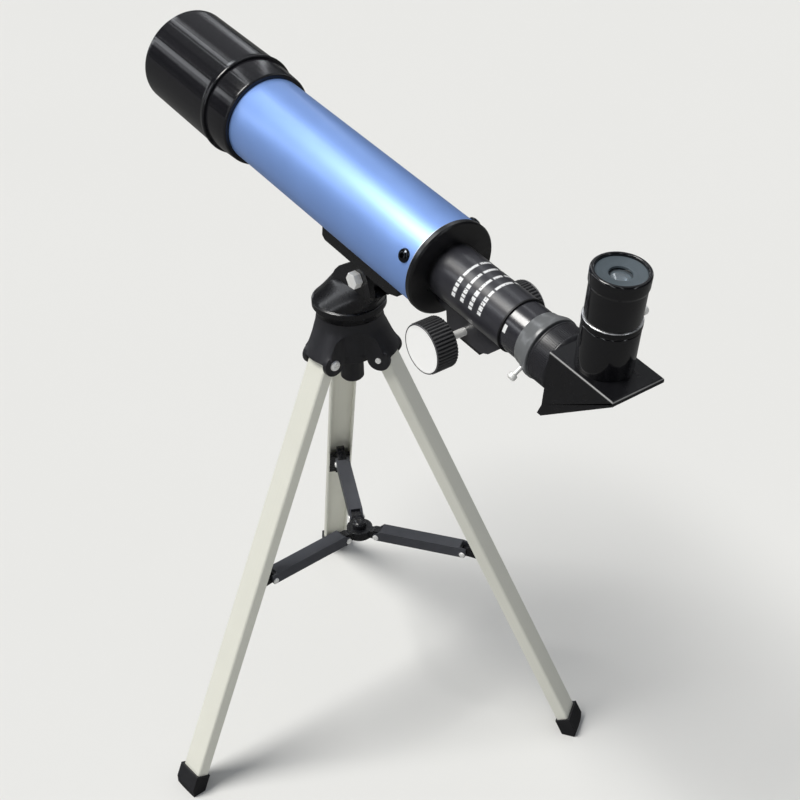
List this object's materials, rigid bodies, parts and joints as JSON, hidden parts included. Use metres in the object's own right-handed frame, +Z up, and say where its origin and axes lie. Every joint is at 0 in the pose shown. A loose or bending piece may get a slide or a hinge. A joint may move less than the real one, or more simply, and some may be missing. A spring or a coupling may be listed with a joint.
{
  "type": "telescope on tripod",
  "caption": "Small refracting telescope with a diagonal and eyepiece, rack focuser and dew hood, on a folding tabletop tripod with a turning, tilting head.",
  "frame": {"origin": "middle of the whole thing's footprint box, at ground height", "axes": "+X towards the eyepiece end along the tube's heading, +Y to the left of someone looking through it from behind, +Z up"},
  "size_m": [0.4586, 0.2764, 0.4928],
  "materials": {
    "hood_black": "smooth black plastic",
    "tube_blue": "blue metallic paint, gloss",
    "body_black": "semi-gloss black plastic",
    "inner_black": "flat black",
    "rack_grey": "moulded nylon",
    "disc_white": "white inlay",
    "lens_glass": "polished, coated",
    "mirror_face": "front-silvered glass",
    "bright_metal": "bright plated",
    "cap_grey": "grey satin",
    "screw_steel": "zinc plated",
    "leg_grey": "warm light grey satin paint",
    "foot_black": "moulded",
    "brace_grey": "dark grey satin",
    "brace_black": "moulded"
  },
  "bodies": {
    "base": {"crown": "body_black", "azimuth_bolt": "screw_steel", "leg_bolts": "screw_steel"},
    "turntable": {"azimuth_rotor": "body_black", "azimuth_nut": "screw_steel", "altitude_bolt": "screw_steel", "altitude_nut": "screw_steel"},
    "telescope": {"objective_cell": "hood_black", "crown_lens": "lens_glass", "flint_lens": "lens_glass", "lens_retaining_ring": "inner_black", "main_tube": "tube_blue", "tube_baffle": "inner_black", "focuser_body": "body_black", "focuser_end_ring": "hood_black", "pinion_cover": "hood_black", "pinion_cover_screws": "screw_steel", "cell_screws": "screw_steel", "tube_shoe": "body_black", "shoe_screws": "screw_steel", "shoe_nuts": "screw_steel"},
    "hood": {"dew_hood": "hood_black"},
    "drawtube_set": {"drawtube": "body_black", "focus_rack": "rack_grey", "drawtube_collar": "body_black"},
    "clamp_screw": {"collar_screw": "bright_metal"},
    "pinion_set": {"pinion_shaft": "screw_steel", "focus_knob_near": "hood_black", "focus_knob_far": "hood_black", "knob_discs": "disc_white"},
    "diagonal": {"diagonal_nose": "body_black", "diagonal_housing": "body_black", "diagonal_back": "body_black", "diagonal_mirror": "mirror_face", "eyepiece_holder": "hood_black"},
    "holder_screw": {"eyepiece_screw": "bright_metal"},
    "eyepiece": {"eyepiece_barrel": "bright_metal", "eyepiece_body": "hood_black", "eyepiece_cap": "cap_grey", "eye_lens": "lens_glass", "field_lens": "lens_glass"},
    "hub": {"brace_hub": "brace_black", "hub_knob": "brace_black", "hub_pins": "screw_steel"},
    "leg_1_set": {"leg_1": "leg_grey", "foot_1": "foot_black", "brace_bracket_1": "brace_black"},
    "arm_1_set": {"brace_arm_1": "brace_grey", "arm_rivets_1": "screw_steel"},
    "leg_2_set": {"leg_2": "leg_grey", "foot_2": "foot_black", "brace_bracket_2": "brace_black"},
    "arm_2_set": {"brace_arm_2": "brace_grey", "arm_rivets_2": "screw_steel"},
    "leg_3_set": {"leg_3": "leg_grey", "foot_3": "foot_black", "brace_bracket_3": "brace_black"},
    "arm_3_set": {"brace_arm_3": "brace_grey", "arm_rivets_3": "screw_steel"}
  },
  "joints": [
    {"name": "azimuth_turn", "type": "hinge", "parent": "base", "child": "turntable", "pos_m": [-0.0362, 0.0338, 0.341], "axis": [0, 0, 1], "continuous": true},
    {"name": "altitude_tilt", "type": "hinge", "parent": "turntable", "child": "telescope", "pos_m": [-0.0117, 0.0338, 0.378], "axis": [0, 1, 0], "range_deg": [-25, 60]},
    {"name": "hood_pull", "type": "slide", "parent": "telescope", "child": "hood", "axis": [-0.9914, 0, 0.1305], "range_m": [0, 0.03]},
    {"name": "focus_travel", "type": "slide", "parent": "telescope", "child": "drawtube_set", "axis": [0.9914, 0, -0.1305], "range_m": [-0.012, 0.038]},
    {"name": "focus_knob_turn", "type": "hinge", "parent": "telescope", "child": "pinion_set", "pos_m": [0.09619, 0.0338, 0.39116], "axis": [0, 1, 0], "range_deg": [-143.5, 454]},
    {"name": "collar_screw_turn", "type": "hinge", "parent": "drawtube_set", "child": "clamp_screw", "pos_m": [0.15408, 0.01345, 0.39572], "axis": [-0.0692, -0.848, -0.5254], "range_deg": [0, 360]},
    {"name": "diagonal_turn", "type": "hinge", "parent": "drawtube_set", "child": "diagonal", "pos_m": [0.16209, 0.0338, 0.40749], "axis": [0.9914, 0, -0.1305], "range_deg": [-90, 90]},
    {"name": "holder_screw_turn", "type": "hinge", "parent": "diagonal", "child": "holder_screw", "pos_m": [0.20364, 0.05572, 0.44287], "axis": [-0.0864, 0.9962, 0.0114], "range_deg": [0, 360]},
    {"name": "eyepiece_lift", "type": "slide", "parent": "diagonal", "child": "eyepiece", "axis": [0.1305, 0, 0.9914], "range_m": [0, 0.024]},
    {"name": "leg_1_fold", "type": "hinge", "parent": "base", "child": "leg_1_set", "pos_m": [-0.01628, 0.04719, 0.312], "axis": [-0.5577, 0.83, 0], "range_deg": [0, 20]},
    {"name": "leg_2_fold", "type": "hinge", "parent": "base", "child": "leg_2_set", "pos_m": [-0.05775, 0.04436, 0.312], "axis": [-0.4399, -0.898, 0], "range_deg": [0, 20.02]},
    {"name": "leg_3_fold", "type": "hinge", "parent": "base", "child": "leg_3_set", "pos_m": [-0.03457, 0.00986, 0.312], "axis": [0.9977, 0.068, 0], "range_deg": [0, 20.02]},
    {"name": "hub_travel", "type": "slide", "parent": "base", "child": "hub", "axis": [0, 0, -1], "range_m": [0, 0.0743]},
    {"name": "arm_1_swing", "type": "hinge", "parent": "hub", "child": "arm_1_set", "pos_m": [-0.02433, 0.04178, 0.151], "axis": [0.5577, -0.83, 0], "range_deg": [0, 82.3]},
    {"name": "arm_2_swing", "type": "hinge", "parent": "hub", "child": "arm_2_set", "pos_m": [-0.04904, 0.04009, 0.151], "axis": [0.4399, 0.898, 0], "range_deg": [0, 82.3]},
    {"name": "arm_3_swing", "type": "hinge", "parent": "hub", "child": "arm_3_set", "pos_m": [-0.03523, 0.01953, 0.151], "axis": [-0.9977, -0.068, 0], "range_deg": [0, 82.3]}
  ],
  "couplings": [
    {"joint": "focus_knob_turn", "follows": "focus_travel", "rad_per_m": 208.33},
    {"joint": "leg_2_fold", "follows": "leg_1_fold", "ratio": 1},
    {"joint": "leg_3_fold", "follows": "leg_1_fold", "ratio": 1},
    {"joint": "hub_travel", "follows": "leg_1_fold", "m_per_rad": 0.21275},
    {"joint": "arm_1_swing", "follows": "leg_1_fold", "ratio": 4.1102},
    {"joint": "arm_2_swing", "follows": "leg_1_fold", "ratio": 4.1102},
    {"joint": "arm_3_swing", "follows": "leg_1_fold", "ratio": 4.1102}
  ]
}
